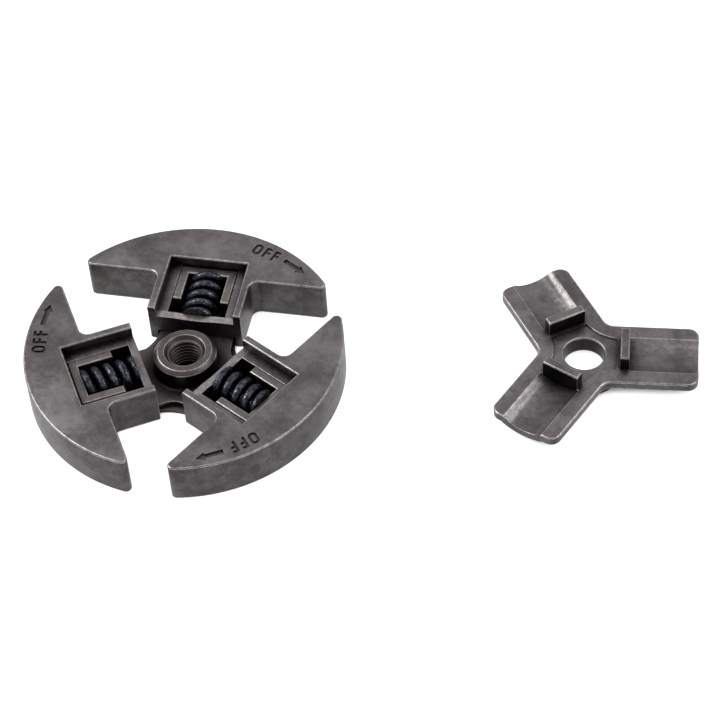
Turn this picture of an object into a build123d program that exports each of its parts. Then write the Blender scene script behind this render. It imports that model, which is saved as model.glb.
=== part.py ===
from build123d import *
import os
from math import cos, pi, radians, sin, sqrt

# Three-shoe centrifugal clutch. The crankshaft screws into the hub, whose three arms carry one spring
# each. Every shoe is forked around an arm and slides outwards on it against its spring. The clutch lies
# on its flat side, its axis upright at the origin, and its cover lies upside down beside it.
# Millimetres, +Z up. On an arm, "out" is the distance from the axis and "across" is sideways.

# Places of the arms and of the cover
arm_angles = {"back": 90, "left": 210, "right": 330}
arm_count = len(arm_angles)
arm_spacing = 360 / arm_count
cover_centre = (85.8, 14.7)
cover_turn = 5.2

# Shoe
shoe_radius = 35.0
shoe_height = 10.0
shoe_inner_edge = 20.3  # out to the straight inner edge of the two wings
rail_width = 1.8
wing_tip_fillet = 1.2
stem_fillet = 2.1
crossbar_width = 1.8
crossbar_dip = 0.25
crossbar_dip_half_width = 4.6
crossbar_gap = 2.4  # between the boss and the crossbar
edge_break = 0.25

# Hub
thread_minor_radius = 3.46
countersink_radius = 4.56
boss_radius = 6.9
boss_height = 7.7
boss_chamfer = 0.9
boss_foot_fillet = 0.8
flange_thickness = 2.5
flange_half_width = 8.35
flange_fillet = 4.0
flange_step_height = 1.25
flange_step_fillet = 12.0
frame_wall = 2.0
frame_leg_length = 7.85
frame_edge_break = 0.2

# Spring
spring_diameter = 8.1
spring_length = 11.9
wire_diameter = 1.95
spring_turns_between_ends = 4
spring_axis_height = 4.9
spring_chords_per_turn = 14
wire_sides = 8

# Cover
cover_thickness = 2.2
cover_half_width = 8.25
cover_end_gap = 0.2  # the cover's arms stop this far inside the spring frames' ends
cover_fillet = 3.0
cover_corner_fillet = 2.3
cover_edge_break = 0.25
cover_sunk = 0.3  # the fitted cover lies this far below the tops of the shoes
cover_bore_radius = 4.45
cover_bore_chamfer = 0.27
collar_radius = 8.75
collar_height = 2.3
crown_height = 1.0
crown_half_width = 5.1
trough_depth = 1.5
trough_half_width = 4.85
lug_thickness = 2.1
lug_half_width = 4.4
lug_height = 3.65
lug_push = 0.6  # the fitted cover's lugs hold each shoe this far outwards
lug_edge_break = 0.25
recess_depth = 0.4
recess_margin = 0.7  # from the recess to the inner face of a lug
recess_bulge_depth = 0.85

# Clearances
frame_end_gap = 0.35  # from the frame's end to the shoe's window, at rest
frame_side_gap = 0.1
web_gap = 0.2  # from a shoe's web to the flange below it and to the fitted cover above it
pocket_side_gap = 0.4
spring_side_gap = 0.35
spring_trough_gap = 0.1
spring_end_gap = 0.05

# How closely an edge or a face that is looked for has to match its size
tolerance = 0.01

# Sizes that follow
stem_end = boss_radius + crossbar_gap
spring_seat = stem_end + crossbar_width
frame_pad = spring_seat + spring_length
frame_end = frame_pad + frame_wall
window_end = frame_end + frame_end_gap
frame_inner_half_width = spring_diameter / 2 + spring_side_gap
frame_half_width = frame_inner_half_width + frame_wall
window_half_width = frame_half_width + frame_side_gap
pocket_half_width = max(flange_half_width, cover_half_width) + pocket_side_gap
stem_half_width = pocket_half_width + rail_width
frame_top = shoe_height - cover_sunk - cover_thickness
web_bottom = flange_thickness + web_gap
web_top = frame_top - web_gap
cover_reach = frame_end - cover_end_gap
collar_depth = cover_thickness + collar_height
lug_outer_face = stem_end + lug_push
lug_inner_face = lug_outer_face - lug_thickness


def arm_plane(angle, height=0.0, centre=(0, 0)):
    """Return the level plane at this height whose X axis runs out along the arm at this angle."""
    return Plane(
        origin=(centre[0], centre[1], height),
        x_dir=(cos(radians(angle)), sin(radians(angle)), 0),
        z_dir=(0, 0, 1),
    )


def section_plane(angle, out, height=0.0, centre=(0, 0)):
    """Return the upright plane across an arm, facing outwards, with its Y axis up."""
    direction = (cos(radians(angle)), sin(radians(angle)))
    return Plane(
        origin=(centre[0] + out * direction[0], centre[1] + out * direction[1], height),
        x_dir=(-direction[1], direction[0], 0),
        z_dir=(direction[0], direction[1], 0),
    )


def star_outline(reach, half_width, fillet_between, corner_fillet=0.0):
    """Return a flat three-armed star, its first arm along X, with fillets between the arms."""
    with BuildSketch() as star:
        with PolarLocations(0, arm_count):
            Rectangle(reach, 2 * half_width, align=(Align.MIN, Align.CENTER))
        fillet(star.vertices().sort_by_distance((0, 0))[:arm_count], fillet_between)
        if corner_fillet > 0:
            arm_corners = star.vertices().sort_by_distance((0, 0))[-2 * arm_count :]
            fillet(arm_corners, corner_fillet)
    return star.sketch


def make_shoe(angle):
    """Return the shoe on the arm at this angle: a rim with two wings and a forked stem, pocketed on
    both sides, with a window for the spring frame and a crossbar for the spring."""
    wing_tip = sqrt(shoe_radius**2 - shoe_inner_edge**2)
    with BuildPart() as shoe:
        with BuildSketch(arm_plane(angle)) as outline:
            with BuildLine():
                ThreePointArc((shoe_inner_edge, -wing_tip), (shoe_radius, 0), (shoe_inner_edge, wing_tip))
                Polyline(
                    (shoe_inner_edge, wing_tip),
                    (shoe_inner_edge, stem_half_width),
                    (stem_end, stem_half_width),
                    (stem_end, -stem_half_width),
                    (shoe_inner_edge, -stem_half_width),
                    (shoe_inner_edge, -wing_tip),
                )
            make_face()
            inner_edge_corners = outline.vertices().group_by(Axis.X)[-1].sort_by(Axis.Y)
            fillet(inner_edge_corners[1:3], stem_fillet)
            wing_tips = outline.vertices().sort_by(Axis.Y)
            fillet([wing_tips[0], wing_tips[-1]], wing_tip_fillet)
        extrude(amount=shoe_height)

        # Pockets for the hub's arm below and the cover's arm above
        for height, depth in ((0, web_bottom), (shoe_height, web_top - shoe_height)):
            with BuildSketch(arm_plane(angle, height)):
                with Locations((window_end, 0)):
                    Rectangle(window_end, 2 * pocket_half_width, align=(Align.MAX, Align.CENTER))
            extrude(amount=depth, mode=Mode.SUBTRACT)
        faces_by_height = shoe.faces().filter_by(Axis.Z).group_by(Axis.Z)
        chamfer((faces_by_height[0] + faces_by_height[-1]).edges(), length=edge_break)

        # Window for the spring frame, and the shallow dip in the crossbar's top
        with BuildSketch(arm_plane(angle, web_bottom)):
            with Locations((spring_seat, 0)):
                Rectangle(window_end - spring_seat, 2 * window_half_width, align=(Align.MIN, Align.CENTER))
        extrude(amount=web_top - web_bottom, mode=Mode.SUBTRACT)
        with BuildSketch(section_plane(angle, spring_seat, web_top)):
            with BuildLine():
                dip_ends = ((-crossbar_dip_half_width, 0), (crossbar_dip_half_width, 0))
                ThreePointArc(dip_ends[0], (0, -crossbar_dip), dip_ends[1])
                Line(dip_ends[1], dip_ends[0])
            make_face()
        extrude(amount=-crossbar_width, mode=Mode.SUBTRACT)
    return shoe.part


def make_spring(angle):
    """Return the spring on the arm at this angle: a left-hand coil with both ends ground flat. The coil
    is a chain of short straight chords and its wire is many-sided, which keeps its facets few."""
    coil_radius = (spring_diameter - wire_diameter) / 2
    pitch = (spring_length - wire_diameter) / spring_turns_between_ends
    chord_count = round((spring_length + wire_diameter) / pitch * spring_chords_per_turn)
    chord_ends = []
    for chord in range(chord_count + 1):
        turn = -2 * pi * chord / spring_chords_per_turn
        along = chord * pitch / spring_chords_per_turn - wire_diameter / 2
        chord_ends.append((coil_radius * cos(turn), coil_radius * sin(turn), along))
    with BuildPart() as spring:
        with BuildLine() as coil:
            Polyline(*chord_ends)
        with BuildSketch(Plane(origin=coil.line @ 0, z_dir=coil.line % 0)):
            RegularPolygon(wire_diameter / 2, wire_sides, major_radius=False, rotation=180 / wire_sides)
        sweep(transition=Transition.RIGHT)
        split(bisect_by=Plane.XY.offset(spring_end_gap), keep=Keep.TOP)
        split(bisect_by=Plane.XY.offset(spring_length - spring_end_gap), keep=Keep.BOTTOM)
    return spring.part.moved(section_plane(angle, spring_seat, spring_axis_height).location)


os.makedirs("parts", exist_ok=True)

# Hub: a two-tier star flange, the threaded boss and a U-shaped spring frame on each arm
with BuildPart() as hub:
    first_arm = arm_angles["back"]
    with BuildSketch(arm_plane(first_arm)):
        add(star_outline(frame_end, flange_half_width, flange_step_fillet))
    extrude(amount=flange_step_height)
    with BuildSketch(arm_plane(first_arm, flange_step_height)):
        add(star_outline(frame_end, flange_half_width, flange_fillet))
    extrude(amount=flange_thickness - flange_step_height)

    with BuildSketch(Plane.XY.offset(flange_thickness)):
        Circle(boss_radius)
    extrude(amount=boss_height - flange_thickness)
    hub_circles = hub.edges().filter_by(GeomType.CIRCLE)
    boss_rims = hub_circles.filter_by(lambda e: abs(e.radius - boss_radius) < tolerance).sort_by(Axis.Z)
    chamfer(boss_rims[-1], length=boss_chamfer)
    fillet(boss_rims[0], radius=boss_foot_fillet)

    for angle in arm_angles.values():
        leg_end = frame_pad - frame_leg_length
        with BuildSketch(arm_plane(angle, flange_thickness)):
            with Locations((leg_end, 0)):
                Rectangle(frame_end - leg_end, 2 * frame_half_width, align=(Align.MIN, Align.CENTER))
                Rectangle(
                    frame_leg_length,
                    2 * frame_inner_half_width,
                    align=(Align.MIN, Align.CENTER),
                    mode=Mode.SUBTRACT,
                )
        extrude(amount=frame_top - flange_thickness)
        with BuildSketch(section_plane(angle, frame_pad, spring_axis_height)):
            Circle(spring_diameter / 2 + spring_trough_gap)
        extrude(amount=-spring_length, mode=Mode.SUBTRACT)
    frame_faces = hub.faces().filter_by(Axis.Z).filter_by(lambda f: abs(f.center().Z - frame_top) < tolerance)
    chamfer(frame_faces.edges(), length=frame_edge_break)

    with Locations((0, 0, boss_height)):
        CounterSinkHole(thread_minor_radius, countersink_radius, counter_sink_angle=90)
hub.part.label = "hub"
export_step(hub.part, "parts/hub.step")

# Shoes and springs, one of each on every arm
for place, angle in arm_angles.items():
    shoe = make_shoe(angle)
    shoe.label = f"shoe_{place}"
    export_step(shoe, f"parts/shoe_{place}.step")
    spring = make_spring(angle)
    spring.label = f"spring_{place}"
    export_step(spring, f"parts/spring_{place}.step")

# Cover: a pressed three-armed plate, lying on its collar with its lugs up
with BuildPart() as cover:
    cover_face = arm_plane(cover_turn, collar_depth, cover_centre)
    with BuildSketch(cover_face.offset(-cover_thickness)):
        add(star_outline(cover_reach, cover_half_width, cover_fillet, cover_corner_fillet))
    extrude(amount=cover_thickness)
    upper_rim = cover.faces().sort_by(Axis.Z)[-1].edges()
    lower_rim = cover.faces().sort_by(Axis.Z)[0].edges()
    chamfer(upper_rim + lower_rim, length=cover_edge_break)
    with BuildSketch(cover_face.offset(-collar_depth)):
        Circle(collar_radius)
    extrude(amount=collar_height)

    # Along each arm a crown on the outer side follows the trough on the spring side
    for arm in range(arm_count):
        angle = cover_turn + arm * arm_spacing
        with BuildSketch(section_plane(angle, cover_reach, collar_depth - cover_thickness, cover_centre)):
            with BuildLine():
                crown_ends = ((-crown_half_width, 0), (crown_half_width, 0))
                ThreePointArc(crown_ends[0], (0, -crown_height), crown_ends[1])
                Polyline(
                    crown_ends[1],
                    (crown_half_width, cover_edge_break),
                    (-crown_half_width, cover_edge_break),
                    crown_ends[0],
                )
            make_face()
        extrude(amount=-cover_reach)
    for arm in range(arm_count):
        angle = cover_turn + arm * arm_spacing
        with BuildSketch(section_plane(angle, cover_reach, collar_depth, cover_centre)):
            with BuildLine():
                trough_ends = ((-trough_half_width, 0), (trough_half_width, 0))
                ThreePointArc(trough_ends[0], (0, -trough_depth), trough_ends[1])
                Line(trough_ends[1], trough_ends[0])
            make_face()
        extrude(amount=lug_outer_face - cover_reach, mode=Mode.SUBTRACT)

    # Shallow recess over the boss, with a straight side at each lug and a bowed one between lugs
    with BuildSketch(cover_face) as recess:
        with BuildLine():
            side_out = lug_inner_face - recess_margin
            for arm in range(arm_count):
                here = Plane.XY.rotated((0, 0, arm * arm_spacing))
                following = Plane.XY.rotated((0, 0, (arm + 1) * arm_spacing))
                start = here.from_local_coords(Vector(side_out, -lug_half_width))
                end = here.from_local_coords(Vector(side_out, lug_half_width))
                next_start = following.from_local_coords(Vector(side_out, -lug_half_width))
                Line(start, end)
                SagittaArc(end, next_start, recess_bulge_depth)
        make_face()
    extrude(amount=-recess_depth, mode=Mode.SUBTRACT)

    for arm in range(arm_count):
        angle = cover_turn + arm * arm_spacing
        with BuildSketch(arm_plane(angle, collar_depth, cover_centre)):
            with Locations((lug_inner_face, 0)):
                Rectangle(lug_thickness, 2 * lug_half_width, align=(Align.MIN, Align.CENTER))
        extrude(amount=lug_height)
    lug_tops = cover.faces().filter_by(Axis.Z).group_by(Axis.Z)[-1]
    chamfer(lug_tops.edges(), length=lug_edge_break)

    with BuildSketch(cover_face):
        Circle(cover_bore_radius)
    extrude(amount=-collar_depth, mode=Mode.SUBTRACT)
    cover_circles = cover.edges().filter_by(GeomType.CIRCLE)
    bore_rims = cover_circles.filter_by(lambda e: abs(e.radius - cover_bore_radius) < tolerance)
    chamfer(bore_rims, length=cover_bore_chamfer)
cover.part.label = "cover"
export_step(cover.part, "parts/cover.step")
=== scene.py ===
import logging
import math
from contextlib import contextmanager
from dataclasses import dataclass, field
from enum import Enum
from functools import cache, reduce
from operator import mul
from typing import Any, Callable, Iterator

import bmesh
import bpy
from mathutils import Matrix, Vector


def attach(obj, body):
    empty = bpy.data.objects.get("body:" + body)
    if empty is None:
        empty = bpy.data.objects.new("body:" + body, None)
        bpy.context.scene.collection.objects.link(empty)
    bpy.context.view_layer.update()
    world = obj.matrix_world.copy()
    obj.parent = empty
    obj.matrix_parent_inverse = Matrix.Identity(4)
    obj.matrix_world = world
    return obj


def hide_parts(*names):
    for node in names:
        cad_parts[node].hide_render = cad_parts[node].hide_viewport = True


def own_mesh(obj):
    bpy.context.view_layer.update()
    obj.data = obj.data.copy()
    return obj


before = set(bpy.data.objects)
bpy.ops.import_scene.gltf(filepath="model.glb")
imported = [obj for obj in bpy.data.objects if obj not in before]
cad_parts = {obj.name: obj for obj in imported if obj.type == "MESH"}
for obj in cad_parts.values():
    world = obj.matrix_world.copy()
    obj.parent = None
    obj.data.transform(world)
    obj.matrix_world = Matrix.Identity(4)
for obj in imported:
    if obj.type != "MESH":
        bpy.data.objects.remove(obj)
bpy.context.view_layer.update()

MM = 0.001
RUBBED = "rubbed"
PRESSED = "pressed"
THREADED = "threaded"
SHADE_PAINTED = "shade_painted"
SHEEN_PAINTED = "sheen_painted"
Colour = tuple[float, float, float]
Pair = tuple[float, float]
Span = tuple[float, float]
Value = Any
WHITE: Colour = (1.0, 1.0, 1.0)
BLACK: Colour = (0.0, 0.0, 0.0)

log = logging.getLogger("clutch")


# Shader graphs


@dataclass(frozen=True)
class Pattern:
    """A noise: features per millimetre, octaves, share of the fine ones, and its span as a mask."""

    scale: float
    octaves: float
    fineness: float
    span: Span | None = None


@dataclass(frozen=True)
class Shade:
    """How far neighbours count, in millimetres, and the openness from closed to open."""

    reach: float
    span: Span
    alone: bool = False
    samples: int = 6


@dataclass(frozen=True)
class Wire:
    """One output socket of a graph, usable in Python expressions on single values."""

    graph: "Graph"
    socket: bpy.types.NodeSocket

    def math(self, operation: str, *operands: Value) -> "Wire":
        """Return this Math operation on the given operands."""
        settings = {"operation": operation}
        return self.graph.node("ShaderNodeMath", settings, dict(enumerate(operands)))

    def __add__(self, other: Value) -> "Wire":
        """Return self + other."""
        return self.math("ADD", self, other)

    def __radd__(self, other: Value) -> "Wire":
        """Return other + self."""
        return self.math("ADD", other, self)

    def __sub__(self, other: Value) -> "Wire":
        """Return self - other."""
        return self.math("SUBTRACT", self, other)

    def __rsub__(self, other: Value) -> "Wire":
        """Return other - self."""
        return self.math("SUBTRACT", other, self)

    def __mul__(self, other: Value) -> "Wire":
        """Return self * other."""
        return self.math("MULTIPLY", self, other)

    def __rmul__(self, other: Value) -> "Wire":
        """Return other * self."""
        return self.math("MULTIPLY", other, self)

    def unsigned(self) -> "Wire":
        """Return the value without its sign."""
        return self.math("ABSOLUTE", self)

    def or_more(self, other: Value) -> "Wire":
        """Return the larger of self and other."""
        return self.math("MAXIMUM", self, other)

    def step(self, low: float, high: float) -> "Wire":
        """Return 0 below low, 1 above high and a smooth rise between.

        Args:
            low: Where the rise starts. It may be above high for a fall.
            high: Where the rise ends.

        Returns:
            The smooth step as a new wire.
        """
        falling = low > high
        settings = {"interpolation_type": "SMOOTHSTEP", "clamp": True}
        limits = {"From Min": min(low, high), "From Max": max(low, high)}
        ends = {"To Min": float(falling), "To Max": float(not falling)}
        return self.graph.node("ShaderNodeMapRange", settings, {"Value": self, **limits, **ends})


class Graph:
    """The node tree of a material or of the world."""

    def __init__(self, owner: bpy.types.Material | bpy.types.World) -> None:
        """Start with an empty tree.

        Args:
            owner: The material or world that the tree belongs to.
        """
        self.owner = owner
        owner.use_nodes = True
        self.tree = owner.node_tree
        self.tree.nodes.clear()

    def node(
        self,
        kind: str,
        settings: dict[str, Any] | None = None,
        values: dict[Any, Value] | None = None,
        output: Any = 0,
    ) -> Wire | None:
        """Add a node, set it and feed its sockets.

        Args:
            kind: The node's type.
            settings: Properties that are set before the sockets.
            values: A number, colour, vector or Wire for each input, by name or index.
            output: The output that is returned, by name or index, or None for a node without any.

        Returns:
            The chosen output.
        """
        made = self.tree.nodes.new(kind)
        for name, value in (settings or {}).items():
            setattr(made, name, value)
        for name, value in (values or {}).items():
            socket = made.inputs[name]
            if isinstance(value, Wire):
                self.tree.links.new(value.socket, socket)
            elif isinstance(value, tuple) and socket.type == "RGBA":
                socket.default_value = (*value, 1.0)
            else:
                socket.default_value = value
        return None if output is None else Wire(self, made.outputs[output])

    def millimetres(self) -> Wire:
        """Return the object coordinates in millimetres."""
        place = self.node("ShaderNodeTexCoord", output="Object")
        settings = {"operation": "SCALE"}
        return self.node("ShaderNodeVectorMath", settings, {0: place, "Scale": 1 / MM})

    def axis(self, vector: Wire, name: str) -> Wire:
        """Return the X, Y or Z of a vector."""
        return self.node("ShaderNodeSeparateXYZ", values={0: vector}, output=name)

    def from_axis(self, place: Wire) -> Wire:
        """Return a place's distance from the Z axis."""
        level = {0: place, 1: (1.0, 1.0, 0.0)}
        flat = self.node("ShaderNodeVectorMath", {"operation": "MULTIPLY"}, level)
        return self.node("ShaderNodeVectorMath", {"operation": "LENGTH"}, {0: flat}, "Value")

    def noise(self, place: Wire, pattern: Pattern) -> Wire:
        """Return a pattern's noise from 0 to 1, or its mask where it has a span.

        Args:
            place: The coordinates, in millimetres.
            pattern: The pattern.

        Returns:
            The noise or the mask.
        """
        sizes = (pattern.scale, pattern.octaves, pattern.fineness)
        values = {"Vector": place, **dict(zip(("Scale", "Detail", "Roughness"), sizes))}
        made = self.node("ShaderNodeTexNoise", values=values)
        return made.step(*pattern.span) if pattern.span else made

    def attribute(self, name: str) -> Wire:
        """Return a piece's own attribute, which is 0 where the piece has none."""
        return self.node("ShaderNodeAttribute", {"attribute_name": name}, output="Fac")

    def openness(self, shade: Shade) -> Wire:
        """Return 1 in the open, down to 0 in a closed corner."""
        settings = {"samples": shade.samples, "only_local": shade.alone}
        reach = {"Distance": shade.reach * MM}
        return self.node("ShaderNodeAmbientOcclusion", settings, reach, "AO").step(*shade.span)

    def mix(self, share: Value, first: Value, second: Value) -> Wire:
        """Return the first colour where share is 0 and the second where it is 1."""
        settings = {"data_type": "RGBA", "clamp_factor": True}
        return self.node("ShaderNodeMix", settings, {0: share, 6: first, 7: second}, 2)

    def matt(self, level: float) -> Wire:
        """Return a matt grey shader."""
        return self.node("ShaderNodeBsdfDiffuse", values={"Color": (level,) * 3})

    def choose(self, share: Wire, first: Wire, second: Wire) -> Wire:
        """Return the first shader where share is 0 and the second where it is 1."""
        return self.node("ShaderNodeMixShader", values={0: share, 1: first, 2: second})

    def seen(self) -> Wire:
        """Return 1 for what the camera sees, straight on, in metal or through glass, and else 0."""
        rays = ("Is Camera Ray", "Is Glossy Ray", "Is Transmission Ray")
        straight, glossy, through = (self.node("ShaderNodeLightPath", output=ray) for ray in rays)
        return straight.or_more(glossy.or_more(through))

    def finish(self, shader: Wire) -> bpy.types.Material | bpy.types.World:
        """Connect the surface and return the material or world."""
        kind = "World" if isinstance(self.owner, bpy.types.World) else "Material"
        self.node(f"ShaderNodeOutput{kind}", values={"Surface": shader}, output=None)
        return self.owner


# Finishes


@dataclass(frozen=True)
class Zone:
    """A ring round the hub's axis: the radii and heights over which it fades, in millimetres."""

    radii: tuple[Span, ...]
    heights: tuple[Span, ...] = ()

    def mask(self, graph: Graph, place: Wire) -> Wire:
        """Return 1 in the ring and 0 outside it.

        Args:
            graph: The material's graph.
            place: The object coordinates, in millimetres.

        Returns:
            The mask.
        """
        radius, height = graph.from_axis(place), graph.axis(place, "Z")
        steps = [radius.step(*span) for span in self.radii]
        steps += [height.step(*span) for span in self.heights]
        return reduce(mul, steps)


@dataclass(frozen=True)
class SinteredSteel:
    """Dark steam-treated sintered steel.

    It has level faces lighter than its sides, whose darkening is painted shade, porous sides,
    rubbed edges, painted shade in its corners, a painted sheen in the cover's troughs, and old oil.
    A span gives where a mask starts and ends, and a share how much of a colour or of a mask counts.
    """

    slot: str = "sintered_steel"
    dark: Colour = (0.068, 0.062, 0.064)
    light: Colour = (0.162, 0.150, 0.154)
    # Colour of rubbed edges, also used for the painted sheen in the cover's troughs.
    rubbed: Colour = (0.330, 0.312, 0.305)
    # Near black for painted shade in corners and hollows, also used for the pores.
    pore_and_shade_black: Colour = (0.006, 0.005, 0.005)
    engraving_shade: Colour = (0.038, 0.030, 0.030)
    thread_brown: Colour = (0.140, 0.122, 0.116)
    stain: Colour = (0.106, 0.085, 0.058)
    side_stain: Colour = (0.036, 0.029, 0.027)

    clouds: Pattern = Pattern(0.13, 3.0, 0.5)
    blotches: Pattern = Pattern(0.85, 5.0, 0.65)
    grain: Pattern = Pattern(5.5, 4.0, 0.7)
    tone_shares: tuple[float, float, float] = (0.42, 0.24, 0.34)
    tone_span: Span = (0.37, 0.63)
    level_span: Span = (0.15, 0.65)
    side_share: float = 0.72
    side_patches: Pattern = Pattern(0.42, 5.0, 0.65, (0.44, 0.60))
    patch_share: float = 0.55
    stains: Pattern = Pattern(0.27, 4.0, 0.6, (0.44, 0.62))
    stained: float = 0.0
    pores: Pattern = Pattern(3.4, 2.0, 0.5, (0.36, 0.27))
    pore_share: float = 0.55
    pressed_share: float = 0.35
    pressed_blotches: float = 0.5

    near: Shade = Shade(5.0, (0.1, 0.6))
    wide: Shade = Shade(8.0, (0.35, 0.8), alone=True)
    tight: Shade = Shade(2.0, (0.48, 0.90), alone=True)
    tight_share: float = 0.75
    downward_span: Span = (0.5, 0.9)
    floor_span: Span = (0.3, 0.1)
    corner_shade_share: float = 0.95
    thread_less_shade: float = 0.45
    pressed_less_shade: float = 0.50

    dots_span: Span = (0.42, 0.58)
    dots_share: float = 0.7
    front_span: Span = (0.04, 0.32)
    wear_and_sheen_share: float = 0.9

    metallic: float = 1.0
    roughness: float = 0.42
    rubbed_roughness: float = 0.34
    blotch_roughness: float = 0.16
    grain_roughness: float = 0.10
    relief_shares: tuple[float, float, float] = (0.7, 0.9, 0.5)
    relief_strength: float = 0.4
    relief_depth: float = 0.03
    edge_radius: float = 0.12
    edge_samples: int = 4

    def _mottle(
        self, graph: Graph, place: Wire, normal: Wire, blotches: Wire, grain: Wire
    ) -> Wire:
        """Return the steel's colour: clouds, blotches, grain, stains and sides in painted shade.

        Args:
            graph: The material's graph.
            place: The object coordinates, in millimetres.
            normal: The surface's direction.
            blotches: Noise of about a millimetre.
            grain: Noise of a fifth of a millimetre.

        Returns:
            The colour.
        """
        clouded, blotched, grained = self.tone_shares
        clouds = graph.noise(place, self.clouds)
        tone = clouds * clouded + blotches * blotched + grain * grained
        colour = graph.mix(tone.step(*self.tone_span), self.dark, self.light)
        # Painted shade: upright faces are mixed towards black, so level faces read lighter.
        side = 1.0 - graph.axis(normal, "Z").unsigned().step(*self.level_span)
        colour = graph.mix(side * (1.0 - self.side_share), colour, BLACK)
        patches = graph.noise(place, self.side_patches)
        colour = graph.mix(side * patches * self.patch_share, colour, self.side_stain)
        return graph.mix(graph.noise(place, self.stains) * self.stained, colour, self.stain)

    def _stain_and_shade(self, graph: Graph, place: Wire, colour: Wire) -> Wire:
        """Return the colour with stains and painted shade that only one piece has, which here are
        none.
        """
        return colour

    def _shiny(self, graph: Graph, place: Wire, dots: Wire, colour: Wire) -> Wire:
        """Return the colour with rubbed places that only one piece has, which here are none."""
        return colour

    @cache
    def material(self) -> bpy.types.Material:
        """Return the material, made once."""
        graph = Graph(bpy.data.materials.new(f"{self.slot}_worn"))
        place = graph.millimetres()
        normal = graph.node("ShaderNodeNewGeometry", output="Normal")
        blotches = graph.noise(place, self.blotches)
        grain = graph.noise(place, self.grain)
        pores = graph.noise(place, self.pores)
        colour = self._mottle(graph, place, normal, blotches, grain)
        colour = graph.mix(pores * self.pore_share, colour, self.pore_and_shade_black)
        pressed, threaded = graph.attribute(PRESSED), graph.attribute(THREADED)
        # Painted shade in the engraved signs, uneven with the blotches.
        sunken = pressed * (self.pressed_share + self.pressed_blotches * blotches)
        colour = graph.mix(sunken, colour, self.engraving_shade)
        colour = graph.mix(threaded, colour, self.thread_brown)
        colour = self._stain_and_shade(graph, place, colour)

        # Painted shade: corners, creases and places near other pieces turn near black by how closed
        # in they are, less in the thread and the signs; downward faces on the floor are left out.
        downward = (0.0 - graph.axis(normal, "Z")).step(*self.downward_span)
        resting = downward * graph.axis(place, "Z").step(*self.floor_span)
        near = graph.openness(self.near).or_more(resting)
        tight = (1.0 - self.tight_share) + self.tight_share * graph.openness(self.tight)
        unshaded = near * graph.openness(self.wide) * tight
        pore_and_shade_black = self.corner_shade_share - threaded * self.thread_less_shade - pressed * self.pressed_less_shade
        colour = graph.mix((1.0 - unshaded) * pore_and_shade_black, colour, self.pore_and_shade_black)
        # Painted shade, near black, on the cover's bore wall and lug sides.
        colour = graph.mix(graph.attribute(SHADE_PAINTED), colour, self.pore_and_shade_black)

        dots = (blotches * 0.5 + grain * 0.5).step(*self.dots_span)
        # Rubbed edges are wear; trough faces turned to the front get a painted sheen in the same
        # colour.
        towards_front = (0.0 - graph.axis(normal, "Y")).step(*self.front_span)
        wear_and_sheen = graph.attribute(RUBBED) + graph.attribute(SHEEN_PAINTED) * towards_front
        wear_and_sheen = wear_and_sheen * near * ((1.0 - self.dots_share) + self.dots_share * dots)
        colour = graph.mix(wear_and_sheen * self.wear_and_sheen_share, colour, self.rubbed)
        colour = self._shiny(graph, place, dots, colour)

        roughness = self.roughness + (blotches - 0.5) * self.blotch_roughness
        roughness = roughness + (grain - 0.5) * self.grain_roughness
        roughness = roughness - wear_and_sheen * (self.roughness - self.rubbed_roughness)
        grained, pitted, blotched = self.relief_shares
        edge = {"Radius": self.edge_radius * MM}
        relief = {
            "Strength": self.relief_strength,
            "Distance": self.relief_depth * MM,
            "Height": grain * grained - pores * pitted + blotches * blotched,
            "Normal": graph.node("ShaderNodeBevel", {"samples": self.edge_samples}, edge),
        }
        values = {
            "Base Color": colour,
            "Metallic": self.metallic,
            "Roughness": roughness,
            "Normal": graph.node("ShaderNodeBump", values=relief),
        }
        return graph.finish(graph.node("ShaderNodeBsdfPrincipled", values=values))


@dataclass(frozen=True)
class HubSteel(SinteredSteel):
    """The hub's steel: oil-stained, with painted shade round the boss and in the thread, bright on
    its rim.
    """

    stained: float = 0.5
    boss: Zone = Zone(((7.4, 7.0),), ((5.0, 6.0),))
    boss_shade: float = 0.25
    chamfer: Zone = Zone(((6.00, 6.10),))
    chamfer_brown: float = 0.35
    chamfer_shade: float = 0.22
    shaded_flange: Zone = Zone(((12.0, 7.0), (5.0, 5.5)), ((6.85, 6.60),))
    flange_shade: float = 0.94
    mouth: Zone = Zone(((4.60, 4.52),), ((6.80, 6.95),))
    mouth_shade: float = 0.70
    roots: Zone = Zone(((3.47, 3.66), (4.3, 4.1)), ((6.55, 6.45),))
    root_shade: float = 0.95
    rim: Zone = Zone(((6.76, 6.82), (7.0, 6.95)), ((6.60, 6.66), (6.98, 6.92)))
    rim_share: float = 0.3
    rim_dots: float = 0.5

    def _stain_and_shade(self, graph: Graph, place: Wire, colour: Wire) -> Wire:
        """Return the colour with a brown chamfer and painted shade round the boss, in the mouth and
        thread roots.

        Args:
            graph: The material's graph.
            place: The object coordinates, in millimetres.
            colour: The colour so far.

        Returns:
            The colour.
        """
        boss, shaded_flange, mouth, roots = (
            zone.mask(graph, place) for zone in (self.boss, self.shaded_flange, self.mouth, self.roots)
        )
        chamfer = boss * self.chamfer.mask(graph, place)
        colour = graph.mix(chamfer * self.chamfer_brown, colour, self.thread_brown)
        # Painted shade: the boss, its chamfer, the flange round the boss, the bore's mouth and the
        # thread roots are mixed towards black.
        pore_and_shade_black = boss * self.boss_shade + chamfer * self.chamfer_shade
        colour = graph.mix(pore_and_shade_black, colour, self.pore_and_shade_black)
        colour = graph.mix(shaded_flange * self.flange_shade, colour, self.pore_and_shade_black)
        return graph.mix(mouth * self.mouth_shade + roots * self.root_shade, colour, self.pore_and_shade_black)

    def _shiny(self, graph: Graph, place: Wire, dots: Wire, colour: Wire) -> Wire:
        """Return the colour with the lower edge of the boss's chamfer rubbed bright."""
        share = self.rim.mask(graph, place) * (self.rim_share + self.rim_dots * dots)
        return graph.mix(share, colour, self.rubbed)


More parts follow.
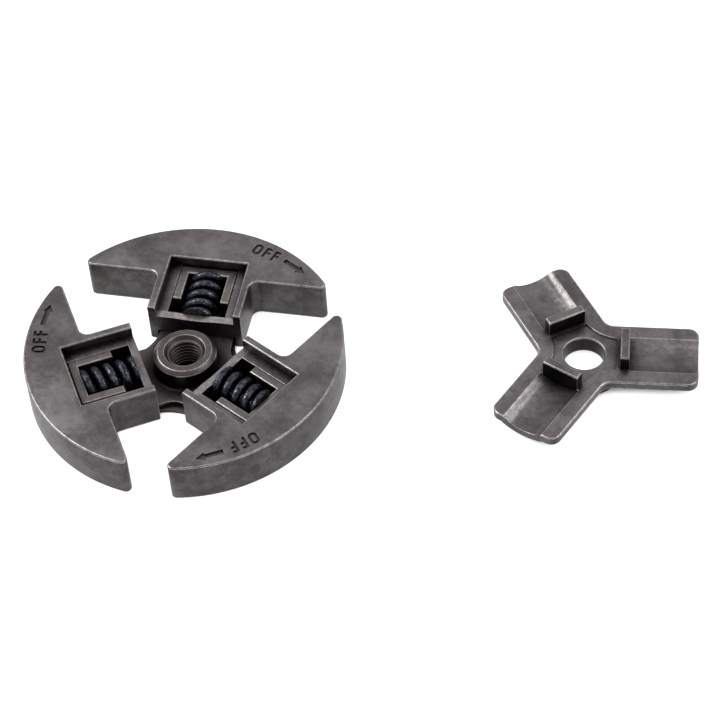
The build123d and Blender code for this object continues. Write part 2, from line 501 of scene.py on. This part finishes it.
@dataclass(frozen=True)
class SpringWire:
    """Blue-black spring wire, wet with oil, with painted glints where the oil catches the light."""

    slot: str = "spring_wire"
    dark: Colour = (0.003, 0.003, 0.006)
    light: Colour = (0.017, 0.018, 0.038)
    glint: Colour = (0.46, 0.48, 0.54)
    blotches: Pattern = Pattern(1.1, 4.0, 0.65)
    blotch_span: Span = (0.40, 0.66)
    drops: Pattern = Pattern(4.5, 3.0, 0.7)
    glints: Pattern = Pattern(8.0, 2.0, 0.5, (0.60, 0.68))
    glint_span: Span = (0.42, 0.56)
    shade: Shade = Shade(3.0, (0.1, 0.75))
    drop_strength: float = 0.8
    drop_depth: float = 0.08
    metallic: float = 0.9
    roughness: float = 0.36
    glint_smoother: float = 0.12
    coat: float = 0.25
    coat_roughness: float = 0.08

    @cache
    def material(self) -> bpy.types.Material:
        """Return the material, made once."""
        graph = Graph(bpy.data.materials.new(f"{self.slot}_oiled"))
        place = graph.millimetres()
        blotches = graph.noise(place, self.blotches)
        colour = graph.mix(blotches.step(*self.blotch_span), self.dark, self.light)
        # Painted glints: small bright specks where the oiled wire would catch the lamps.
        glints = graph.noise(place, self.glints) * blotches.step(*self.glint_span)
        colour = graph.mix(glints, colour, self.glint)
        colour = graph.mix(1.0 - graph.openness(self.shade), colour, self.dark)
        relief = {
            "Strength": self.drop_strength,
            "Distance": self.drop_depth * MM,
            "Height": graph.noise(place, self.drops),
        }
        values = {
            "Base Color": colour,
            "Metallic": self.metallic,
            "Roughness": self.roughness - glints * self.glint_smoother,
            "Normal": graph.node("ShaderNodeBump", values=relief),
            "Coat Weight": self.coat,
            "Coat Roughness": self.coat_roughness,
        }
        return graph.finish(graph.node("ShaderNodeBsdfPrincipled", values=values))


# Mesh helpers


def about_z(degrees: float) -> Matrix:
    """Return a turn about Z."""
    return Matrix.Rotation(math.radians(degrees), 4, "Z")


def moved(x: float = 0.0, y: float = 0.0, z: float = 0.0) -> Matrix:
    """Return a shift given in millimetres."""
    return Matrix.Translation(Vector((x, y, z)) * MM)


def add_object(name: str, bm: bmesh.types.BMesh) -> bpy.types.Object:
    """Write a bmesh into a new object at the origin and free it."""
    mesh = bpy.data.meshes.new(name)
    bm.to_mesh(mesh)
    bm.free()
    made = bpy.data.objects.new(name, mesh)
    bpy.context.scene.collection.objects.link(made)
    return made


@contextmanager
def opened(mesh: bpy.types.Mesh) -> Iterator[bmesh.types.BMesh]:
    """Yield a mesh as a bmesh and write it back at the end."""
    bm = bmesh.new()
    bm.from_mesh(mesh)
    yield bm
    bm.to_mesh(mesh)
    bm.free()


def mark_all(bm: bmesh.types.BMesh, name: str) -> None:
    """Set a named attribute to 1 on every face."""
    layer = bm.faces.layers.float.new(name)
    for face in bm.faces:
        face[layer] = 1.0


def divide(bm: bmesh.types.BMesh, point: Vector, normal: Vector, beyond: bool = False) -> None:
    """Divide a bmesh's faces along a plane.

    Args:
        bm: The bmesh.
        point: A point of the plane, in metres.
        normal: The plane's direction.
        beyond: Whether what lies beyond the plane is cleared.
    """
    everything = bm.verts[:] + bm.edges[:] + bm.faces[:]
    bmesh.ops.bisect_plane(
        bm, geom=everything, plane_co=point, plane_no=normal, clear_outer=beyond
    )


def wind(
    bm: bmesh.types.BMesh, profile: list, turns: float, steps: int, rise: float = 0.0
) -> None:
    """Spin a profile round Z into a ring, which is merged, or into a coil if it rises.

    Args:
        bm: The bmesh.
        profile: The profile's vertices and edges.
        turns: Number of turns, less than 0 for a left-hand coil.
        steps: Number of steps.
        rise: How far each step climbs, in millimetres.
    """
    bmesh.ops.spin(
        bm, geom=profile, cent=(0.0, 0.0, 0.0), axis=(0.0, 0.0, 1.0),
        angle=2 * math.pi * turns, steps=steps, dvec=Vector((0.0, 0.0, rise)) * MM,
        use_merge=not rise, use_duplicate=False,
    )


def trim_ends(bm: bmesh.types.BMesh, low: float, high: float) -> None:
    """Cut a swept shape off level at two heights in millimetres, and close its ends."""
    for height, side in ((low, -1.0), (high, 1.0)):
        divide(bm, Vector((0.0, 0.0, height * MM)), Vector((0.0, 0.0, side)), beyond=True)
    rims = [edge for edge in bm.edges if edge.is_boundary]
    bmesh.ops.holes_fill(bm, edges=rims, sides=0)
    bmesh.ops.recalc_face_normals(bm, faces=bm.faces)


def soften(
    mesh: bpy.types.Mesh,
    width: float,
    least: float = 35.0,
    chosen: Callable[[Vector], bool] = lambda middle: True,
) -> None:
    """Break a mesh's outer edges with a small rounding and mark it as rubbed.

    Args:
        mesh: The mesh.
        width: How wide the rounding is on each side of the edge, in millimetres.
        least: The least angle between two faces whose edge is rounded, in degrees.
        chosen: Whether the edge with this middle, in millimetres, is rounded.
    """
    with opened(mesh) as bm:
        rubbed = bm.faces.layers.float.get(RUBBED) or bm.faces.layers.float.new(RUBBED)
        sharp = [
            edge
            for edge in bm.edges
            if edge.calc_face_angle_signed(0.0) > math.radians(least)
            and chosen((edge.verts[0].co + edge.verts[1].co) / 2 / MM)
        ]
        made = bmesh.ops.bevel(
            bm, geom=sharp, affect="EDGES", segments=2, profile=0.5, material=-1,
            offset=width * MM, offset_type="OFFSET", clamp_overlap=False, loop_slide=True,
        )
        for face in made["faces"]:
            face[rubbed] = 1.0


def paint(mesh: bpy.types.Mesh, name: str, amount: Callable[[Vector, Vector], float]) -> None:
    """Set a named attribute on some of a mesh's faces.

    Args:
        mesh: The mesh.
        name: The attribute's name.
        amount: Its value on the face with this middle of its box, in millimetres, and this
            normal. 0 leaves the face as it is.
    """
    with opened(mesh) as bm:
        layer = bm.faces.layers.float.get(name) or bm.faces.layers.float.new(name)
        for face in bm.faces:
            face[layer] = amount(face.calc_center_bounds() / MM, face.normal) or face[layer]


def crease(mesh: bpy.types.Mesh, degrees: float = 20.0) -> None:
    """Shade a mesh smooth except across edges sharper than this angle."""
    with opened(mesh) as bm:
        for face in bm.faces:
            face.smooth = True
        for edge in bm.edges:
            flat = edge.calc_face_angle(0.0) < math.radians(degrees)
            edge.smooth = len(edge.link_faces) == 2 and flat


def merged_copy(node: str, name: str, gap: float = 0.0005, bend: float = 0.3) -> bpy.types.Object:
    """Copy a CAD node's mesh with its loose triangles joined.

    Args:
        node: The CAD node.
        name: The new object's name.
        gap: How near the corners that are merged are, in millimetres.
        bend: The angle below which neighbouring faces become one, in degrees.

    Returns:
        The copy, at the origin as the node is.
    """
    bm = bmesh.new()
    bm.from_mesh(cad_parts[node].data)
    bmesh.ops.remove_doubles(bm, verts=bm.verts, dist=gap * MM)
    limit = math.radians(bend)
    bmesh.ops.dissolve_limit(bm, angle_limit=limit, verts=bm.verts, edges=bm.edges)
    copy = add_object(name, bm)
    for layer in list(copy.data.uv_layers):
        copy.data.uv_layers.remove(layer)
    copy.data.materials.clear()
    return copy


def cut_away(piece: bpy.types.Object, cutter: bpy.types.Object) -> None:
    """Cut one object out of another and delete the cutter.

    Args:
        piece: The object that is cut.
        cutter: A closed mesh.
    """
    modifier = piece.modifiers.new("cut", "BOOLEAN")
    modifier.operation = "DIFFERENCE"
    modifier.solver = "MANIFOLD"
    modifier.object = cutter
    bpy.context.view_layer.update()
    evaluated = piece.evaluated_get(bpy.context.evaluated_depsgraph_get())
    mesh = bpy.data.meshes.new_from_object(evaluated)
    piece.modifiers.clear()
    piece.data = mesh
    bpy.data.objects.remove(cutter)


def dress(
    piece: bpy.types.Object, finish: SinteredSteel | SpringWire, body: str, node: str
) -> bpy.types.Object:
    """Give a piece its finish and its place among the bodies.

    Args:
        piece: The piece.
        finish: Its finish.
        body: The CAD body that it moves with.
        node: The CAD node that it stands for.

    Returns:
        The piece.
    """
    piece.data.materials.clear()
    piece.data.materials.append(finish.material())
    piece.data.polygons.foreach_set("material_index", [0] * len(piece.data.polygons))
    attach(piece, body)
    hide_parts(node)
    return piece


# The clutch


class Arm(Enum):
    """The hub's three arms and the directions that they point in, in degrees from +X."""

    BACK = 90.0
    LEFT = 210.0
    RIGHT = 330.0

    @property
    def place(self) -> str:
        """Return the arm's name as the CAD nodes have it."""
        return self.name.lower()

    @property
    def outwards(self) -> Vector:
        """Return the unit vector out along the arm."""
        angle = math.radians(self.value)
        return Vector((math.cos(angle), math.sin(angle), 0.0))

    def matrix(
        self, out: float = 0.0, across: float = 0.0, height: float = 0.0, turn: float = 0.0
    ) -> Matrix:
        """Return the frame at a point of the arm, in millimetres, with X outwards and Z up.

        Args:
            out: Distance from the axis.
            across: Distance to the left of the arm's middle, seen from the axis.
            height: Distance above the floor.
            turn: Extra turn about Z, in degrees.

        Returns:
            The matrix, in metres.
        """
        return about_z(self.value) @ moved(out, across, height) @ about_z(turn)


@dataclass
class Engraving:
    """The word OFF and an arrow, pressed into a shoe's top face. Sizes are in millimetres.

    A line of writing runs along -Y of the arm's frame, so each sign's frame has X upwards and Y
    against it.
    """

    depth: float = 0.42
    stroke: float = 0.60
    stroke_sides: int = 16
    draft: float = 0.05
    letter_height: float = 3.15
    letter_width: float = 1.5
    o_width: float = 2.05
    o_steps: int = 40
    o_middle: float = 0.0001
    word_place: Pair = (27.82, -11.5)
    word_turn: float = -20.5
    o_step: float = -2.0
    f_step: float = 2.27
    middle_bar: float = 1.62
    arrow_place: Pair = (27.41, -16.8)
    arrow_turn: float = -31.7
    arrow_length: float = 6.15
    arrow_overlap: float = 0.2
    head_length: float = 2.06
    head_width: float = 2.27
    shaft_width: float = 1.14

    def _cutter(self, bm: bmesh.types.BMesh, matrix: Matrix) -> bpy.types.Object:
        """Return a finished sign as a cutter at this frame."""
        bmesh.ops.transform(bm, matrix=matrix, verts=bm.verts)
        bmesh.ops.recalc_face_normals(bm, faces=bm.faces)
        mark_all(bm, PRESSED)
        return add_object("cutter", bm)

    def _taper(
        self, matrix: Matrix, sides: int, size: Pair, turn: float = 0.0, stretch: float = 0.0
    ) -> bpy.types.Object:
        """Return a solid that stands across the top face and narrows downwards.

        Args:
            matrix: The frame of the solid's middle at the top face.
            sides: Number of sides.
            size: Distance from the middle to a corner along X and along Y, in millimetres.
            turn: Where the first corner is, in degrees from Y.
            stretch: How far the half on the -Y side is drawn out, in millimetres.

        Returns:
            The solid, as an object.
        """
        bm = bmesh.new()
        bmesh.ops.create_cone(
            bm, cap_ends=True, segments=sides, radius1=1.0, radius2=1.0, depth=2.0,
            matrix=about_z(turn),
        )
        for level in (-1, 1):
            wider = level * self.draft
            grown = Vector((size[0] + wider, size[1] + wider, self.depth)) * MM
            ring = [vert for vert in bm.verts if vert.co.z == level]
            bmesh.ops.scale(bm, vec=grown, verts=ring)
        drawn = [vert for vert in bm.verts if vert.co.y < 0.0]
        bmesh.ops.translate(bm, vec=(0.0, -stretch * MM, 0.0), verts=drawn)
        return self._cutter(bm, matrix)

    def _stroke(self, matrix: Matrix, start: Pair, length: float, turn: float) -> bpy.types.Object:
        """Return a round-ended stroke.

        Args:
            matrix: The frame of the letter.
            start: The middle of the stroke's first end, in millimetres.
            length: Length between the middles of its ends, in millimetres.
            turn: The stroke's direction in degrees, counted from -Y.

        Returns:
            The stroke's solid.
        """
        here = matrix @ moved(*start) @ about_z(turn)
        size = (self.stroke / 2, self.stroke / 2)
        return self._taper(here, self.stroke_sides, size, 180.0 / self.stroke_sides, length)

    def _letter_f(self, matrix: Matrix) -> Iterator[bpy.types.Object]:
        """Yield the strokes of an F whose foot stands at the frame's origin."""
        half = self.stroke / 2
        top = self.letter_height - half
        reach = self.letter_width - self.stroke
        yield self._stroke(matrix, (half, 0.0), top - half, 90.0)
        yield self._stroke(matrix, (top, 0.0), reach, 0.0)
        yield self._stroke(matrix, (self.middle_bar, 0.0), reach, 0.0)

    def _letter_o(self, matrix: Matrix) -> Iterator[bpy.types.Object]:
        """Yield the oval ring of an O whose foot stands at the frame's origin."""
        bm = bmesh.new()
        middle = (self.o_width - self.stroke) / 2
        section = []
        for side, level in ((1, 1), (-1, 1), (-1, -1), (1, -1)):
            out = middle + side * (self.stroke / 2 + level * self.draft)
            section.append(bm.verts.new(Vector((out, 0.0, level * self.depth)) * MM))
        edges = [bm.edges.new(pair) for pair in zip(section, section[1:] + section[:1])]
        wind(bm, section + edges, 1, self.o_steps)
        drawn = (self.letter_height - self.o_width) / 2 * MM
        for side in (-1, 1):
            half = [vert for vert in bm.verts if vert.co.x * side > self.o_middle * MM]
            bmesh.ops.translate(bm, vec=(side * drawn, 0.0, 0.0), verts=half)
        yield self._cutter(bm, matrix @ moved(self.letter_height / 2))

    def _arrow(self, matrix: Matrix) -> Iterator[bpy.types.Object]:
        """Yield the shaft and the head of an arrow whose tail is at the frame's origin."""
        neck = self.arrow_length - self.head_length
        corner = math.sqrt(2) * self.shaft_width / 2
        tail = matrix @ moved(y=-self.shaft_width / 2)
        drawn = neck - self.shaft_width + self.arrow_overlap
        yield self._taper(tail, 4, (corner, corner), 45.0, drawn)
        tip = matrix @ moved(y=-neck - self.head_length / 3)
        size = (self.head_width / math.sqrt(3), self.head_length * 2 / 3)
        yield self._taper(tip, 3, size, 180.0)

    def cutters(self, arm: Arm, top: float) -> Iterator[bpy.types.Object]:
        """Yield the closed solids that cut the signs.

        Args:
            arm: The arm that the shoe is on.
            top: Height of the shoe's top face, in millimetres.

        Yields:
            One solid at a time.
        """
        word = arm.matrix(*self.word_place, top, self.word_turn)
        yield from self._letter_o(word @ moved(y=-self.o_step))
        yield from self._letter_f(word)
        yield from self._letter_f(word @ moved(y=-self.f_step))
        yield from self._arrow(arm.matrix(*self.arrow_place, top, self.arrow_turn))


@dataclass
class Shoe:
    """One winged shoe with its engraved signs. Sizes are in millimetres."""

    arm: Arm
    steel: SinteredSteel
    top: float = 10.0
    edge_break: float = 0.12
    spring_seat: float = 11.1
    crossbar_levels: Span = (6.9, 7.35)
    crossbar_slope: float = 0.8
    crossbar_rub: float = 0.5
    engraving: Engraving = field(default_factory=Engraving)

    def _crossbar_wear(self, middle: Vector, normal: Vector) -> float:
        """Return how rubbed a face is as part of the crossbar's top."""
        low, high = self.crossbar_levels
        on_top = low <= middle.z <= high and normal.z > self.crossbar_slope
        return self.crossbar_rub * (on_top and middle.dot(self.arm.outwards) < self.spring_seat)

    def build(self) -> bpy.types.Object:
        """Cut the signs into a copy of the shoe and dress it.

        Returns:
            The finished piece.
        """
        node = f"shoe_{self.arm.place}"
        piece = merged_copy(node, f"{node}_engraved")
        soften(piece.data, self.edge_break)
        with opened(piece.data) as bm:
            divide(bm, self.arm.matrix(self.spring_seat).translation, self.arm.outwards)
        paint(piece.data, RUBBED, self._crossbar_wear)
        for cutter in self.engraving.cutters(self.arm, self.top):
            cut_away(piece, cutter)
        crease(piece.data)
        return dress(piece, self.steel, node, node)


@dataclass
class Hub:
    """The star hub with its threaded boss. Sizes are in millimetres."""

    steel: HubSteel
    minor_radius: float = 3.46
    major_radius: float = 4.0
    crest_clearance: float = 0.015
    pitch: float = 1.0
    crest_share: float = 0.12
    root_share: float = 0.12
    edge_break: float = 0.12
    lower_tier: float = 2.4
    low: float = -1.5
    high: float = 6.50
    spare_turns: int = 2
    weld: float = 0.002
    boss_top: float = 7.7
    mouth_radius: float = 4.57
    mouth_overshoot: float = 0.5
    mouth_sides: int = 96
    ledge_radius: float = 3.80
    ledge_height: float = 6.75
    steps_per_turn: int = 64

    def _thread_cutter(self) -> bpy.types.Object:
        """Return a left-hand threaded rod, as wide as the thread's roots."""
        minor, major = self.minor_radius + self.crest_clearance, self.major_radius
        crest, root = self.crest_share / 2, self.root_share / 2
        shape = (
            (minor, 0.0),
            (minor, crest),
            (major, 0.5 - root),
            (major, 0.5 + root),
            (minor, 1.0 - crest),
            (minor, 1.0),
        )
        turns = math.ceil((self.high - self.low) / self.pitch) + self.spare_turns + 1
        start = self.low - self.spare_turns * self.pitch
        bm = bmesh.new()
        points = [
            bm.verts.new(Vector((out, 0.0, start + rise * self.pitch)) * MM) for out, rise in shape
        ]
        edges = [bm.edges.new(pair) for pair in zip(points, points[1:])]
        per_turn = self.steps_per_turn
        wind(bm, points + edges, -turns, per_turn * turns, self.pitch / per_turn)
        bmesh.ops.remove_doubles(bm, verts=bm.verts, dist=self.weld * MM)
        trim_ends(bm, self.low, self.high)
        mark_all(bm, THREADED)
        return add_object("thread_cutter", bm)

    def _mouth_cutter(self) -> bpy.types.Object:
        """Return the cone that leaves a narrow ledge above the thread."""
        slope = (self.mouth_radius - self.ledge_radius) / (self.boss_top - self.ledge_height)
        top = self.boss_top + self.mouth_overshoot
        wide = self.mouth_radius + slope * self.mouth_overshoot
        bm = bmesh.new()
        bmesh.ops.create_cone(
            bm, cap_ends=True, segments=self.mouth_sides, radius1=self.ledge_radius * MM,
            radius2=wide * MM, depth=(top - self.ledge_height) * MM,
            matrix=moved(z=(top + self.ledge_height) / 2),
        )
        mark_all(bm, THREADED)
        return add_object("mouth_cutter", bm)

    def build(self) -> bpy.types.Object:
        """Cut the thread into a copy of the hub and dress it.

        Returns:
            The finished piece.
        """
        piece = merged_copy("hub", "hub_threaded")
        soften(piece.data, self.edge_break, chosen=lambda middle: middle.z > self.lower_tier)
        cut_away(piece, self._mouth_cutter())
        cut_away(piece, self._thread_cutter())
        crease(piece.data)
        return dress(piece, self.steel, "hub", "hub")


@dataclass
class CoilSpring:
    """One right-hand compression spring with ends ground flat. Sizes are in millimetres."""

    arm: Arm
    wire: SpringWire
    outer_diameter: float = 8.1
    wire_diameter: float = 1.95
    length: float = 11.9
    seat: float = 11.1
    axis_height: float = 4.9
    turns_between_ends: float = 3.62
    start: float = -77.0
    end_gap: float = 0.05
    travel: float = 1.8
    steps_per_turn: int = 56
    wire_sides: int = 20
    crease_angle: float = 50.0

    def _wound(self) -> bmesh.types.BMesh:
        """Return the coil, standing on the origin and ground flat at both ends."""
        pitch = (self.length - self.wire_diameter) / self.turns_between_ends
        radius = (self.outer_diameter - self.wire_diameter) / 2
        turns = (self.length + self.wire_diameter) / pitch
        steps = round(turns * self.steps_per_turn)
        first = moved(radius, 0.0, -self.wire_diameter / 2)
        bm = bmesh.new()
        ring = bmesh.ops.create_circle(
            bm,
            cap_ends=False,
            segments=self.wire_sides,
            radius=self.wire_diameter / 2 * MM,
            matrix=first @ Matrix.Rotation(math.pi / 2, 4, "X"),
        )
        rise = (self.length + self.wire_diameter) / steps
        wind(bm, ring["verts"] + bm.edges[:], turns, steps, rise)
        trim_ends(bm, self.end_gap, self.length - self.end_gap)
        return bm

    def build(self) -> bpy.types.Object:
        """Wind the spring, lay it along its arm and dress it.

        Returns:
            The finished piece.
        """
        bm = self._wound()
        laid = Matrix(((0, 0, 1, 0), (1, 0, 0, 0), (0, 1, 0, 0), (0, 0, 0, 1)))
        place = self.arm.matrix(self.seat, 0.0, self.axis_height) @ (laid @ about_z(self.start))
        bmesh.ops.transform(bm, matrix=place, verts=bm.verts)
        node = f"spring_{self.arm.place}"
        piece = add_object(f"{node}_coil", bm)
        crease(piece.data, self.crease_angle)
        dress(piece, self.wire, "hub", node)
        anchor = self.arm.matrix(self.seat + self.length, 0.0, self.axis_height).translation
        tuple(self.arm.outwards)
        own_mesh(piece)
        return piece


@dataclass
class Cover:
    """The three-armed cover, taken off and laid upside down. Sizes are in millimetres.

    A slope is the least or greatest Z of a face's normal.
    """

    steel: SinteredSteel
    centre: Pair = (85.8, 14.7)
    turn: float = 5.2
    edge_break: float = 0.10
    least_angle: float = 30.0
    thin_corner_levels: Span = (4.0, 4.4)
    thin_corner_radius: float = 24.0
    plate_top: float = 4.5
    lug_foot: float = 4.6
    bore_radius: float = 4.45
    bore_margin: float = 0.1
    chamfer_width: float = 0.6
    recess_edge: float = 7.1
    recess_margin: float = 0.06
    recess_break: float = 0.28
    recess_depth: float = 0.5
    recess_slope: float = 0.97
    level_margin: float = 0.01
    trough_start: float = 9.9
    trough_slope: float = 0.7
    trough_margin: float = 0.02
    side_slope: float = 0.5
    bore_shade: float = 0.72
    lug_shade: float = 0.97
    recess_rub: float = 0.95
    trough_sheen: tuple[float, float, float] = (0.15, 0.80, 0.70)

    def _out(self, middle: Vector) -> Vector:
        """Return a place as seen from above, counted from the cover's centre."""
        return middle.xy - Vector(self.centre)

    def _directions(self) -> list[Vector]:
        """Return the unit vectors out along the three arms, in the order of trough_sheen."""
        angles = (math.radians(self.turn + step) for step in (0.0, 120.0, 240.0))
        return [Vector((math.cos(angle), math.sin(angle))) for angle in angles]

    def _by_lug(self, out: Vector) -> bool:
        """Return whether a place is on the recess's straight side by a lug."""
        sides = (out.dot(direction) - self.recess_edge for direction in self._directions())
        return any(abs(side) < self.recess_margin for side in sides)

    def _by_curve(self, out: Vector) -> bool:
        """Return whether a place is at the recess's curved steps."""
        inner = self.bore_radius + self.chamfer_width
        return inner < out.length < self.trough_start and not self._by_lug(out)

    def _on_recess(self, middle: Vector) -> bool:
        """Return whether an edge is the upper one of the recess's curved steps."""
        level = abs(middle.z - self.plate_top) < self.level_margin
        return level and self._by_curve(self._out(middle))

    def _softened(self, middle: Vector) -> bool:
        """Return whether an edge is clear of the troughs' thin corners and of the recess."""
        out = self._out(middle)
        low, high = self.thin_corner_levels
        thin = low <= middle.z <= high and out.length >= self.thin_corner_radius
        by_lug = self._by_lug(out) and middle.z < self.lug_foot
        return not (thin or by_lug or self._on_recess(middle))

    def _painted_shade(self, middle: Vector, normal: Vector) -> float:
        """Return how much near-black painted shade a face gets as part of the bore's wall or a
        lug's sides.
        """
        if abs(normal.z) > self.side_slope:
            return 0.0
        if self._out(middle).length < self.bore_radius + self.bore_margin:
            return self.bore_shade
        return self.lug_shade * (middle.z > self.lug_foot)

    def _recess_wear(self, middle: Vector, normal: Vector) -> float:
        """Return how rubbed a face is as part of the curved steps round the recess."""
        low, high = self.plate_top - self.recess_depth, self.plate_top - self.level_margin
        sloped = abs(normal.z) < self.recess_slope and low < middle.z < high
        return self.recess_rub * (sloped and self._by_curve(self._out(middle)))

    def _painted_sheen(self, middle: Vector, normal: Vector) -> float:
        """Return how much painted sheen a face gets as part of a trough's floor, by its arm."""
        out = self._out(middle)
        sunken = middle.z <= self.plate_top - self.trough_margin
        if not sunken or normal.z < self.trough_slope or out.length < self.trough_start:
            return 0.0
        along = [out.dot(direction) for direction in self._directions()]
        return self.trough_sheen[along.index(max(along))]

    def build(self) -> bpy.types.Object:
        """Dress a smooth copy of the cover.

        Returns:
            The finished piece.
        """
        piece = merged_copy("cover", "cover_pressed")
        soften(piece.data, self.edge_break, self.least_angle, self._softened)
        soften(piece.data, self.recess_break, self.least_angle, self._on_recess)
        paint(piece.data, RUBBED, self._recess_wear)
        # Painted shade on the bore wall and the lug sides.
        paint(piece.data, SHADE_PAINTED, self._painted_shade)
        # Painted sheen on the troughs' floors.
        paint(piece.data, SHEEN_PAINTED, self._painted_sheen)
        crease(piece.data)
        return dress(piece, self.steel, "hub", "cover")


# The studio


@dataclass(frozen=True)
class Lamp:
    """A soft square lamp that points at the object, in metres and watts."""

    name: str
    place: tuple[float, float, float]
    size: float
    power: float

    def build(self, centre: Vector) -> None:
        """Add the lamp.

        Args:
            centre: The point that the lamp is placed from and points at.
        """
        data = bpy.data.lights.new(self.name, "AREA")
        data.shape = "SQUARE"
        data.size = self.size
        data.energy = self.power
        lamp = bpy.data.objects.new(self.name, data)
        lamp.location = centre + Vector(self.place)
        lamp.rotation_euler = (-Vector(self.place)).to_track_quat("-Z", "Y").to_euler()
        bpy.context.scene.collection.objects.link(lamp)


@dataclass
class Studio:
    """A pale floor, soft lamps and a pale surround.

    The floor's size and the lamps are in metres, and the masks on the floor in millimetres.
    """

    centre: Vector = field(default_factory=lambda: Vector((0.04, 0.0, 0.0)))
    floor_size: float = 4.0
    floor_colour: float = 0.80
    floor_glow: float = 0.90
    bare_share: float = 0.6
    shadow: Shade = Shade(15.0, (0.06, 0.36), samples=16)
    bore_edge: Span = (3.9, 4.2)
    surround: float = 0.5
    lamps: tuple[Lamp, ...] = (
        Lamp("lamp_back", (0.0, 0.6, 0.7), 0.5, 0.3),
        Lamp("lamp_left", (-0.6, 0.0, 0.6), 0.5, 5.5),
        Lamp("lamp_right", (0.6, 0.0, 0.6), 0.5, 3.0),
    )

    def _floor_material(self) -> bpy.types.Material:
        """Return the floor's material: plain for light, white with a close shadow where seen."""
        graph = Graph(bpy.data.materials.new("floor"))
        # Painted shadow: the seen floor turns black where it is closed in, and over the hub's bore.
        beyond_bore = graph.from_axis(graph.millimetres()).step(*self.bore_edge)
        open_floor = graph.openness(self.shadow) * beyond_bore
        light = {"Color": WHITE, "Strength": self.floor_glow}
        glow = graph.node("ShaderNodeEmission", values=light)
        bare = graph.matt(self.floor_colour * self.bare_share)
        white = graph.node("ShaderNodeAddShader", values={0: bare, 1: glow})
        shown = graph.choose(open_floor, graph.matt(0.0), white)
        return graph.finish(graph.choose(graph.seen(), graph.matt(self.floor_colour), shown))

    def _surround(self) -> bpy.types.World:
        """Return the world: white where it is seen, and a plain soft light elsewhere."""
        graph = Graph(bpy.data.worlds.new("surround"))
        soft, white = (
            graph.node("ShaderNodeBackground", values={"Color": WHITE, "Strength": strength})
            for strength in (self.surround, 1.0)
        )
        return graph.finish(graph.choose(graph.seen(), soft, white))

    def build(self) -> None:
        """Set up the floor, the lamps, the surround and the colour management."""
        bm = bmesh.new()
        bmesh.ops.create_grid(bm, x_segments=1, y_segments=1, size=self.floor_size / 2)
        floor = add_object("floor", bm)
        floor.data.materials.append(self._floor_material())
        for lamp in self.lamps:
            lamp.build(self.centre)
        bpy.context.scene.world = self._surround()
        bpy.context.scene.view_settings.view_transform = "Standard"


@dataclass
class PhotoCamera:
    """The camera at the photograph's viewpoint. Angles are in degrees, lengths in millimetres."""

    focal_pixels: float = 2527.5
    photo_width: int = 720
    sensor_width: float = 36.0
    elevation: float = 48.72
    azimuth: float = -76.21
    roll: float = -4.16
    offset: tuple[float, float, float] = (-38.43, 3.62, 550.11)
    target_height: float = 10.0
    clip: Span = (10.0, 20000.0)

    def build(self) -> None:
        """Place the camera and make it the scene's."""
        elevation, azimuth, roll = (
            math.radians(angle) for angle in (self.elevation, self.azimuth, self.roll)
        )
        level = Vector((-math.sin(azimuth), math.cos(azimuth), 0.0))
        ahead = Vector((math.cos(azimuth), math.sin(azimuth), 0.0))
        back = ahead * math.cos(elevation) + Vector((0.0, 0.0, math.sin(elevation)))
        above = back.cross(level)
        right = level * math.cos(roll) + above * math.sin(roll)
        up = above * math.cos(roll) - level * math.sin(roll)
        x, y, far = self.offset
        place = back * far - right * x - up * y + Vector((0.0, 0.0, self.target_height))
        data = bpy.data.cameras.new("photo_camera")
        data.sensor_width = self.sensor_width
        data.lens = self.focal_pixels / self.photo_width * self.sensor_width
        data.clip_start, data.clip_end = (distance * MM for distance in self.clip)
        camera = bpy.data.objects.new("photo_camera", data)
        turned = Matrix((right, up, back)).transposed().to_4x4()
        camera.matrix_world = Matrix.Translation(place * MM) @ turned
        bpy.context.scene.collection.objects.link(camera)
        bpy.context.scene.camera = camera


def main() -> None:
    """Build the clutch, its cover and the studio."""
    logging.basicConfig(level=logging.INFO, format="%(message)s")
    PhotoCamera().build()
    Studio().build()
    steel, wire = SinteredSteel(), SpringWire()
    shoes = [
        Shoe(Arm.BACK, steel, crossbar_rub=1.0),
        Shoe(Arm.LEFT, steel, crossbar_rub=0.15),
        Shoe(Arm.RIGHT, steel, crossbar_rub=0.6),
    ]
    parts = [Hub(HubSteel()), *shoes, *(CoilSpring(arm, wire) for arm in Arm), Cover(steel)]
    for part in parts:
        piece = part.build()
        log.info("%s: %d faces", piece.name, len(piece.data.polygons))


if __name__ == "__main__":
    main()
